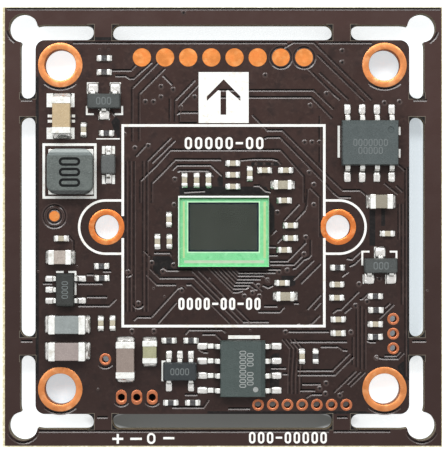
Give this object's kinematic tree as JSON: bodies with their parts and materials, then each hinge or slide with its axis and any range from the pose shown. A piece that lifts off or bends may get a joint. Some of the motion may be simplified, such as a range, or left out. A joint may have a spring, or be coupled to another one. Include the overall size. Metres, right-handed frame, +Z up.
{
  "type": "camera module",
  "caption": "Square camera circuit board with a central image sensor, plated corner holes, copper contact pads and a routed snap-off frame.",
  "frame": {"origin": "under the middle of the board, on the plane of the processor's lower face", "axes": "+Z up out of the sensor's side of the board, +X to the right and +Y away from the wire holes"},
  "size_m": [0.038, 0.038, 0.0043],
  "materials": {
    "laminate": "dark brown solder mask on glass-fibre laminate, pale at the routed edges",
    "solder_mask": "glossy dark brown solder mask",
    "white_print": "white printed ink",
    "copper": "bare copper under a clear flux coat",
    "tin": "bright tin plating",
    "solder": "bright uneven solder",
    "sensor_green": "light green laminate and resin",
    "silicon": "dark grey-green silicon",
    "clear_glass": "clear cover glass",
    "ferrite": "grey ferrite",
    "chip_moulding": "dark grey epoxy moulding",
    "tan_ceramic": "tan capacitor ceramic",
    "grey_ceramic": "grey capacitor ceramic",
    "rose_ceramic": "rose-brown capacitor ceramic",
    "olive_ceramic": "olive ferrite ceramic",
    "white_ceramic": "white alumina",
    "resistor_glaze": "black resistor glaze"
  },
  "bodies": {
    "root": {"board": "laminate", "corner_hole_rings": "copper", "lens_hole_rings": "copper", "header_hole_barrels": "copper", "side_hole_barrels": "copper", "earth_hole_barrel": "copper", "wire_hole_barrels": "copper", "contact_pads": "copper", "alignment_pad": "copper", "sensor_base": "sensor_green", "sensor_frame": "sensor_green", "sensor_die": "silicon", "cover_glass": "clear_glass", "inductor_core": "ferrite", "inductor_winding": "copper", "inductor_resin": "chip_moulding", "inductor_terminals": "tin", "flash_body": "chip_moulding", "flash_leads": "tin", "driver_body": "chip_moulding", "driver_leads": "tin", "converter_body": "chip_moulding", "converter_leads": "tin", "regulator_body": "chip_moulding", "regulator_leads": "tin", "transistor_bodies": "chip_moulding", "transistor_leads": "tin", "diode_body": "chip_moulding", "diode_leads": "tin", "reservoir_capacitor_body": "tan_ceramic", "input_capacitor_body": "grey_ceramic", "output_capacitor_body": "rose_ceramic", "supply_capacitor_body": "rose_ceramic", "large_chip_caps": "tin", "coupling_capacitor_bodies": "rose_ceramic", "bead_body": "olive_ceramic", "middle_chip_caps": "tin", "small_capacitor_bodies": "tan_ceramic", "small_chip_caps": "tin", "tiny_capacitor_bodies": "tan_ceramic", "tiny_capacitor_ends": "tin", "tiny_resistor_bodies": "white_ceramic", "tiny_resistor_ends": "tin", "tiny_resistor_coats": "resistor_glaze", "processor_body": "chip_moulding", "processor_pads": "tin", "processor_heat_pad": "tin", "crystal_base": "white_ceramic", "crystal_lid": "tin", "lower_capacitor_bodies": "tan_ceramic", "lower_capacitor_ends": "tin", "chip_solder": "solder", "lead_solder": "solder"}
  },
  "joints": []
}
